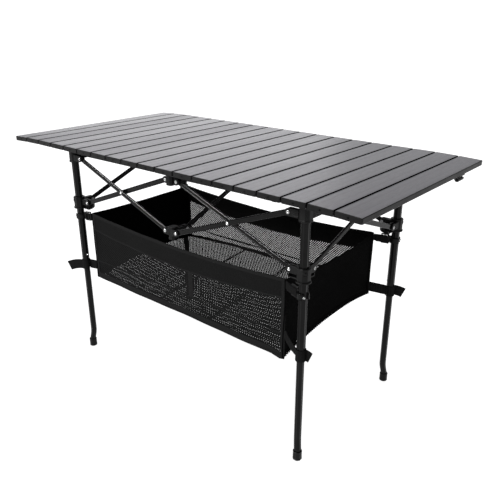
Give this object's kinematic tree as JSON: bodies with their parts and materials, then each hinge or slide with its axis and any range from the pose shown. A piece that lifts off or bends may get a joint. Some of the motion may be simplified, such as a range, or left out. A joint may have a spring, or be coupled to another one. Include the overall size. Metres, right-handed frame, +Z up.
{
  "type": "camp kitchen table",
  "caption": "Roll-top slatted camping table on a folding scissor frame with telescopic legs and a mesh storage basket below the top.",
  "frame": {"origin": "on the ground, under the middle of the top", "axes": "+X along the top's length, +Y from front to rear across its width, +Z up"},
  "size_m": [1.197, 0.6, 0.7],
  "materials": {
    "slat_aluminium": "satin anodised grey",
    "leg_tube": "satin black anodised, ribbed",
    "bar_tube": "satin black anodised",
    "hub_plastic": "moulded black",
    "button_steel": "bright rivet and button metal",
    "basket_fabric": "black woven cloth and open mesh"
  },
  "bodies": {
    "front_hub": {"top_hub_front_middle": "hub_plastic"},
    "bar_front_left_b": {"bar_front_left_b": "bar_tube"},
    "slider_front_left": {"slider_front_left": "hub_plastic"},
    "bar_front_left_a": {"bar_front_left_a": "bar_tube"},
    "low_hub_front": {"low_hub_front_middle": "hub_plastic", "storage_basket": "basket_fabric"},
    "leg_front_left": {"upper_leg_front_left": "leg_tube", "top_hub_front_left": "hub_plastic"},
    "bar_left_a": {"bar_left_a": "bar_tube"},
    "slider_rear_left": {"slider_rear_left": "hub_plastic"},
    "bar_left_b": {"bar_left_b": "bar_tube"},
    "leg_rear_left": {"upper_leg_rear_left": "leg_tube", "top_hub_rear_left": "hub_plastic"},
    "bar_rear_left_a": {"bar_rear_left_a": "bar_tube"},
    "bar_rear_left_b": {"bar_rear_left_b": "bar_tube"},
    "bar_front_right_b": {"bar_front_right_b": "bar_tube"},
    "slider_front_right": {"slider_front_right": "hub_plastic"},
    "bar_front_right_a": {"bar_front_right_a": "bar_tube"},
    "leg_front_right": {"upper_leg_front_right": "leg_tube", "top_hub_front_right": "hub_plastic"},
    "bar_right_a": {"bar_right_a": "bar_tube"},
    "slider_rear_right": {"slider_rear_right": "hub_plastic"},
    "bar_right_b": {"bar_right_b": "bar_tube"},
    "leg_rear_right": {"upper_leg_rear_right": "leg_tube", "top_hub_rear_right": "hub_plastic"},
    "bar_rear_right_a": {"bar_rear_right_a": "bar_tube"},
    "bar_rear_right_b": {"bar_rear_right_b": "bar_tube"},
    "bar_middle_a": {"bar_middle_a": "bar_tube"},
    "low_hub_rear": {"low_hub_rear_middle": "hub_plastic"},
    "bar_middle_b": {"bar_middle_b": "bar_tube"},
    "rear_hub": {"top_hub_rear_middle": "hub_plastic"},
    "lower_leg_front_left": {"lower_leg_front_left": "leg_tube"},
    "lower_leg_front_right": {"lower_leg_front_right": "leg_tube"},
    "lower_leg_rear_left": {"lower_leg_rear_left": "leg_tube"},
    "lower_leg_rear_right": {"lower_leg_rear_right": "leg_tube"},
    "button_front_left": {"slider_button_front_left": "button_steel"},
    "button_front_right": {"slider_button_front_right": "button_steel"},
    "button_rear_left": {"slider_button_rear_left": "button_steel"},
    "button_rear_right": {"slider_button_rear_right": "button_steel"},
    "slat_19": {"slat_19": "slat_aluminium", "roll_strap_hook": "hub_plastic"},
    "slat_18": {"slat_18": "slat_aluminium"},
    "slat_17": {"slat_17": "slat_aluminium"},
    "slat_16": {"slat_16": "slat_aluminium"},
    "slat_15": {"slat_15": "slat_aluminium"},
    "slat_14": {"slat_14": "slat_aluminium"},
    "slat_13": {"slat_13": "slat_aluminium"},
    "slat_12": {"slat_12": "slat_aluminium"},
    "slat_11": {"slat_11": "slat_aluminium"},
    "slat_10": {"slat_10": "slat_aluminium"},
    "slat_09": {"slat_09": "slat_aluminium"},
    "slat_08": {"slat_08": "slat_aluminium"},
    "slat_07": {"slat_07": "slat_aluminium"},
    "slat_06": {"slat_06": "slat_aluminium"},
    "slat_05": {"slat_05": "slat_aluminium"},
    "slat_04": {"slat_04": "slat_aluminium"},
    "slat_03": {"slat_03": "slat_aluminium"},
    "slat_02": {"slat_02": "slat_aluminium"},
    "slat_01": {"slat_01": "slat_aluminium"}
  },
  "joints": [
    {"name": "frame_fold", "type": "hinge", "parent": "front_hub", "child": "bar_front_left_b", "pos_m": [-0.02, -0.22, 0.645], "axis": [0, -1, 0], "range_deg": [0, 49.4], "deforming": ["storage_basket"]},
    {"name": "slider_front_left_pivot", "type": "hinge", "parent": "bar_front_left_b", "child": "slider_front_left", "pos_m": [-0.38, -0.22, 0.508], "axis": [0, -1, 0], "range_deg": [-49.9, 0.5]},
    {"name": "scissor_front_left", "type": "hinge", "parent": "bar_front_left_b", "child": "bar_front_left_a", "pos_m": [-0.2, -0.22, 0.5765], "axis": [0, -1, 0], "range_deg": [-99.3, 0.5]},
    {"name": "low_hub_front_pivot", "type": "hinge", "parent": "bar_front_left_a", "child": "low_hub_front", "pos_m": [-0.02, -0.22, 0.508], "axis": [0, -1, 0], "range_deg": [-0.5, 49.9]},
    {"name": "leg_front_left_pivot", "type": "hinge", "parent": "bar_front_left_a", "child": "leg_front_left", "pos_m": [-0.38, -0.22, 0.645], "axis": [0, -1, 0], "range_deg": [-0.5, 49.9]},
    {"name": "bar_left_a_pivot", "type": "hinge", "parent": "leg_front_left", "child": "bar_left_a", "pos_m": [-0.42, -0.18, 0.645], "axis": [1, 0, 0], "range_deg": [-49.9, 0.5]},
    {"name": "slider_rear_left_pivot", "type": "hinge", "parent": "bar_left_a", "child": "slider_rear_left", "pos_m": [-0.42, 0.18, 0.508], "axis": [1, 0, 0], "range_deg": [-0.5, 49.9]},
    {"name": "scissor_left", "type": "hinge", "parent": "bar_left_a", "child": "bar_left_b", "pos_m": [-0.42, 0, 0.5765], "axis": [1, 0, 0], "range_deg": [-0.5, 99.3]},
    {"name": "leg_rear_left_pivot", "type": "hinge", "parent": "bar_left_b", "child": "leg_rear_left", "pos_m": [-0.42, 0.18, 0.645], "axis": [1, 0, 0], "range_deg": [-49.9, 0.5]},
    {"name": "bar_rear_left_a_pivot", "type": "hinge", "parent": "leg_rear_left", "child": "bar_rear_left_a", "pos_m": [-0.38, 0.22, 0.645], "axis": [0, -1, 0], "range_deg": [-49.9, 0.5]},
    {"name": "scissor_rear_left", "type": "hinge", "parent": "bar_rear_left_a", "child": "bar_rear_left_b", "pos_m": [-0.2, 0.22, 0.5765], "axis": [0, -1, 0], "range_deg": [-0.5, 99.3]},
    {"name": "bar_front_right_b_pivot", "type": "hinge", "parent": "front_hub", "child": "bar_front_right_b", "pos_m": [0.02, -0.22, 0.645], "axis": [0, -1, 0], "range_deg": [-49.9, 0.5]},
    {"name": "slider_front_right_pivot", "type": "hinge", "parent": "bar_front_right_b", "child": "slider_front_right", "pos_m": [0.38, -0.22, 0.508], "axis": [0, -1, 0], "range_deg": [-0.5, 49.9]},
    {"name": "scissor_front_right", "type": "hinge", "parent": "bar_front_right_b", "child": "bar_front_right_a", "pos_m": [0.2, -0.22, 0.5765], "axis": [0, -1, 0], "range_deg": [-0.5, 99.3]},
    {"name": "leg_front_right_pivot", "type": "hinge", "parent": "bar_front_right_a", "child": "leg_front_right", "pos_m": [0.38, -0.22, 0.645], "axis": [0, -1, 0], "range_deg": [-49.9, 0.5]},
    {"name": "bar_right_a_pivot", "type": "hinge", "parent": "leg_front_right", "child": "bar_right_a", "pos_m": [0.42, -0.18, 0.645], "axis": [1, 0, 0], "range_deg": [-49.9, 0.5]},
    {"name": "slider_rear_right_pivot", "type": "hinge", "parent": "bar_right_a", "child": "slider_rear_right", "pos_m": [0.42, 0.18, 0.508], "axis": [1, 0, 0], "range_deg": [-0.5, 49.9]},
    {"name": "scissor_right", "type": "hinge", "parent": "bar_right_a", "child": "bar_right_b", "pos_m": [0.42, 0, 0.5765], "axis": [1, 0, 0], "range_deg": [-0.5, 99.3]},
    {"name": "leg_rear_right_pivot", "type": "hinge", "parent": "bar_right_b", "child": "leg_rear_right", "pos_m": [0.42, 0.18, 0.645], "axis": [1, 0, 0], "range_deg": [-49.9, 0.5]},
    {"name": "bar_rear_right_a_pivot", "type": "hinge", "parent": "leg_rear_right", "child": "bar_rear_right_a", "pos_m": [0.38, 0.22, 0.645], "axis": [0, -1, 0], "range_deg": [-0.5, 49.9]},
    {"name": "scissor_rear_right", "type": "hinge", "parent": "bar_rear_right_a", "child": "bar_rear_right_b", "pos_m": [0.2, 0.22, 0.5765], "axis": [0, -1, 0], "range_deg": [-99.3, 0.5]},
    {"name": "bar_middle_a_pivot", "type": "hinge", "parent": "front_hub", "child": "bar_middle_a", "pos_m": [0, -0.18, 0.645], "axis": [1, 0, 0], "range_deg": [-49.9, 0.5]},
    {"name": "low_hub_rear_pivot", "type": "hinge", "parent": "bar_middle_a", "child": "low_hub_rear", "pos_m": [0, 0.18, 0.508], "axis": [1, 0, 0], "range_deg": [-0.5, 49.9]},
    {"name": "scissor_middle", "type": "hinge", "parent": "bar_middle_a", "child": "bar_middle_b", "pos_m": [0, 0, 0.5765], "axis": [1, 0, 0], "range_deg": [-0.5, 99.3]},
    {"name": "top_hub_rear_pivot", "type": "hinge", "parent": "bar_middle_b", "child": "rear_hub", "pos_m": [0, 0.18, 0.645], "axis": [1, 0, 0], "range_deg": [-49.9, 0.5]},
    {"name": "leg_extend_front_left", "type": "slide", "parent": "leg_front_left", "child": "lower_leg_front_left", "axis": [0, 0, -1], "range_m": [-0.2, 0]},
    {"name": "leg_extend_front_right", "type": "slide", "parent": "leg_front_right", "child": "lower_leg_front_right", "axis": [0, 0, -1], "range_m": [-0.2, 0]},
    {"name": "leg_extend_rear_left", "type": "slide", "parent": "leg_rear_left", "child": "lower_leg_rear_left", "axis": [0, 0, -1], "range_m": [-0.2, 0]},
    {"name": "leg_extend_rear_right", "type": "slide", "parent": "leg_rear_right", "child": "lower_leg_rear_right", "axis": [0, 0, -1], "range_m": [-0.2, 0]},
    {"name": "button_press_front_left", "type": "slide", "parent": "slider_front_left", "child": "button_front_left", "axis": [0.7071, 0.7071, 0], "range_m": [0, 0.0018], "stiffness_N_per_m": 500, "springref_m": -0.001},
    {"name": "button_press_front_right", "type": "slide", "parent": "slider_front_right", "child": "button_front_right", "axis": [-0.7071, 0.7071, 0], "range_m": [0, 0.0018], "stiffness_N_per_m": 500, "springref_m": -0.001},
    {"name": "button_press_rear_left", "type": "slide", "parent": "slider_rear_left", "child": "button_rear_left", "axis": [0.7071, -0.7071, 0], "range_m": [0, 0.0018], "stiffness_N_per_m": 500, "springref_m": -0.001},
    {"name": "button_press_rear_right", "type": "slide", "parent": "slider_rear_right", "child": "button_rear_right", "axis": [-0.7071, -0.7071, 0], "range_m": [0, 0.0018], "stiffness_N_per_m": 500, "springref_m": -0.001},
    {"name": "top_lift", "type": "slide", "parent": "front_hub", "child": "slat_19", "axis": [0, 0, 1], "range_m": [0, 0.12]},
    {"name": "top_roll", "type": "hinge", "parent": "slat_19", "child": "slat_18", "pos_m": [0.53683, 0, 0.69868], "axis": [0, 1, 0], "range_deg": [0, 35.01]},
    {"name": "slat_hinge_17", "type": "hinge", "parent": "slat_18", "child": "slat_17", "pos_m": [0.47368, 0, 0.7], "axis": [0, 1, 0], "range_deg": [0, 36.33]},
    {"name": "slat_hinge_16", "type": "hinge", "parent": "slat_17", "child": "slat_16", "pos_m": [0.41053, 0, 0.7], "axis": [0, 1, 0], "range_deg": [0, 37.21]},
    {"name": "slat_hinge_15", "type": "hinge", "parent": "slat_16", "child": "slat_15", "pos_m": [0.34737, 0, 0.7], "axis": [0, 1, 0], "range_deg": [0, 38.16]},
    {"name": "slat_hinge_14", "type": "hinge", "parent": "slat_15", "child": "slat_14", "pos_m": [0.28421, 0, 0.7], "axis": [0, 1, 0], "range_deg": [0, 39.2]},
    {"name": "slat_hinge_13", "type": "hinge", "parent": "slat_14", "child": "slat_13", "pos_m": [0.22105, 0, 0.7], "axis": [0, 1, 0], "range_deg": [0, 40.32]},
    {"name": "slat_hinge_12", "type": "hinge", "parent": "slat_13", "child": "slat_12", "pos_m": [0.1579, 0, 0.7], "axis": [0, 1, 0], "range_deg": [0, 41.54]},
    {"name": "slat_hinge_11", "type": "hinge", "parent": "slat_12", "child": "slat_11", "pos_m": [0.09474, 0, 0.7], "axis": [0, 1, 0], "range_deg": [0, 42.89]},
    {"name": "slat_hinge_10", "type": "hinge", "parent": "slat_11", "child": "slat_10", "pos_m": [0.03158, 0, 0.7], "axis": [0, 1, 0], "range_deg": [0, 44.38]},
    {"name": "slat_hinge_09", "type": "hinge", "parent": "slat_10", "child": "slat_09", "pos_m": [-0.03158, 0, 0.7], "axis": [0, 1, 0], "range_deg": [0, 46.04]},
    {"name": "slat_hinge_08", "type": "hinge", "parent": "slat_09", "child": "slat_08", "pos_m": [-0.09474, 0, 0.7], "axis": [0, 1, 0], "range_deg": [0, 47.9]},
    {"name": "slat_hinge_07", "type": "hinge", "parent": "slat_08", "child": "slat_07", "pos_m": [-0.1579, 0, 0.7], "axis": [0, 1, 0], "range_deg": [0, 50.02]},
    {"name": "slat_hinge_06", "type": "hinge", "parent": "slat_07", "child": "slat_06", "pos_m": [-0.22105, 0, 0.7], "axis": [0, 1, 0], "range_deg": [0, 52.45]},
    {"name": "slat_hinge_05", "type": "hinge", "parent": "slat_06", "child": "slat_05", "pos_m": [-0.28421, 0, 0.7], "axis": [0, 1, 0], "range_deg": [0, 55.28]},
    {"name": "slat_hinge_04", "type": "hinge", "parent": "slat_05", "child": "slat_04", "pos_m": [-0.34737, 0, 0.7], "axis": [0, 1, 0], "range_deg": [0, 58.65]},
    {"name": "slat_hinge_03", "type": "hinge", "parent": "slat_04", "child": "slat_03", "pos_m": [-0.41053, 0, 0.7], "axis": [0, 1, 0], "range_deg": [0, 62.73]},
    {"name": "slat_hinge_02", "type": "hinge", "parent": "slat_03", "child": "slat_02", "pos_m": [-0.47368, 0, 0.7], "axis": [0, 1, 0], "range_deg": [0, 67.84]},
    {"name": "slat_hinge_01", "type": "hinge", "parent": "slat_02", "child": "slat_01", "pos_m": [-0.53683, 0, 0.69868], "axis": [0, 1, 0], "range_deg": [0, 74.5]}
  ],
  "couplings": [
    {"joint": "slider_front_left_pivot", "follows": "frame_fold", "ratio": -1},
    {"joint": "scissor_front_left", "follows": "frame_fold", "ratio": -2},
    {"joint": "low_hub_front_pivot", "follows": "frame_fold", "ratio": 1},
    {"joint": "leg_front_left_pivot", "follows": "frame_fold", "ratio": 1},
    {"joint": "bar_left_a_pivot", "follows": "frame_fold", "ratio": -1},
    {"joint": "slider_rear_left_pivot", "follows": "frame_fold", "ratio": 1},
    {"joint": "scissor_left", "follows": "frame_fold", "ratio": 2},
    {"joint": "leg_rear_left_pivot", "follows": "frame_fold", "ratio": -1},
    {"joint": "bar_rear_left_a_pivot", "follows": "frame_fold", "ratio": -1},
    {"joint": "scissor_rear_left", "follows": "frame_fold", "ratio": 2},
    {"joint": "bar_front_right_b_pivot", "follows": "frame_fold", "ratio": -1},
    {"joint": "slider_front_right_pivot", "follows": "frame_fold", "ratio": 1},
    {"joint": "scissor_front_right", "follows": "frame_fold", "ratio": 2},
    {"joint": "leg_front_right_pivot", "follows": "frame_fold", "ratio": -1},
    {"joint": "bar_right_a_pivot", "follows": "frame_fold", "ratio": -1},
    {"joint": "slider_rear_right_pivot", "follows": "frame_fold", "ratio": 1},
    {"joint": "scissor_right", "follows": "frame_fold", "ratio": 2},
    {"joint": "leg_rear_right_pivot", "follows": "frame_fold", "ratio": -1},
    {"joint": "bar_rear_right_a_pivot", "follows": "frame_fold", "ratio": 1},
    {"joint": "scissor_rear_right", "follows": "frame_fold", "ratio": -2},
    {"joint": "bar_middle_a_pivot", "follows": "frame_fold", "ratio": -1},
    {"joint": "low_hub_rear_pivot", "follows": "frame_fold", "ratio": 1},
    {"joint": "scissor_middle", "follows": "frame_fold", "ratio": 2},
    {"joint": "top_hub_rear_pivot", "follows": "frame_fold", "ratio": -1},
    {"joint": "slat_hinge_17", "follows": "top_roll", "ratio": 1.0235},
    {"joint": "slat_hinge_16", "follows": "top_roll", "ratio": 1.0487},
    {"joint": "slat_hinge_15", "follows": "top_roll", "ratio": 1.0759},
    {"joint": "slat_hinge_14", "follows": "top_roll", "ratio": 1.1054},
    {"joint": "slat_hinge_13", "follows": "top_roll", "ratio": 1.1374},
    {"joint": "slat_hinge_12", "follows": "top_roll", "ratio": 1.1724},
    {"joint": "slat_hinge_11", "follows": "top_roll", "ratio": 1.2109},
    {"joint": "slat_hinge_10", "follows": "top_roll", "ratio": 1.2534},
    {"joint": "slat_hinge_09", "follows": "top_roll", "ratio": 1.3008},
    {"joint": "slat_hinge_08", "follows": "top_roll", "ratio": 1.3541},
    {"joint": "slat_hinge_07", "follows": "top_roll", "ratio": 1.4146},
    {"joint": "slat_hinge_06", "follows": "top_roll", "ratio": 1.4841},
    {"joint": "slat_hinge_05", "follows": "top_roll", "ratio": 1.565},
    {"joint": "slat_hinge_04", "follows": "top_roll", "ratio": 1.6611},
    {"joint": "slat_hinge_03", "follows": "top_roll", "ratio": 1.7777},
    {"joint": "slat_hinge_02", "follows": "top_roll", "ratio": 1.9237},
    {"joint": "slat_hinge_01", "follows": "top_roll", "ratio": 2.114}
  ]
}
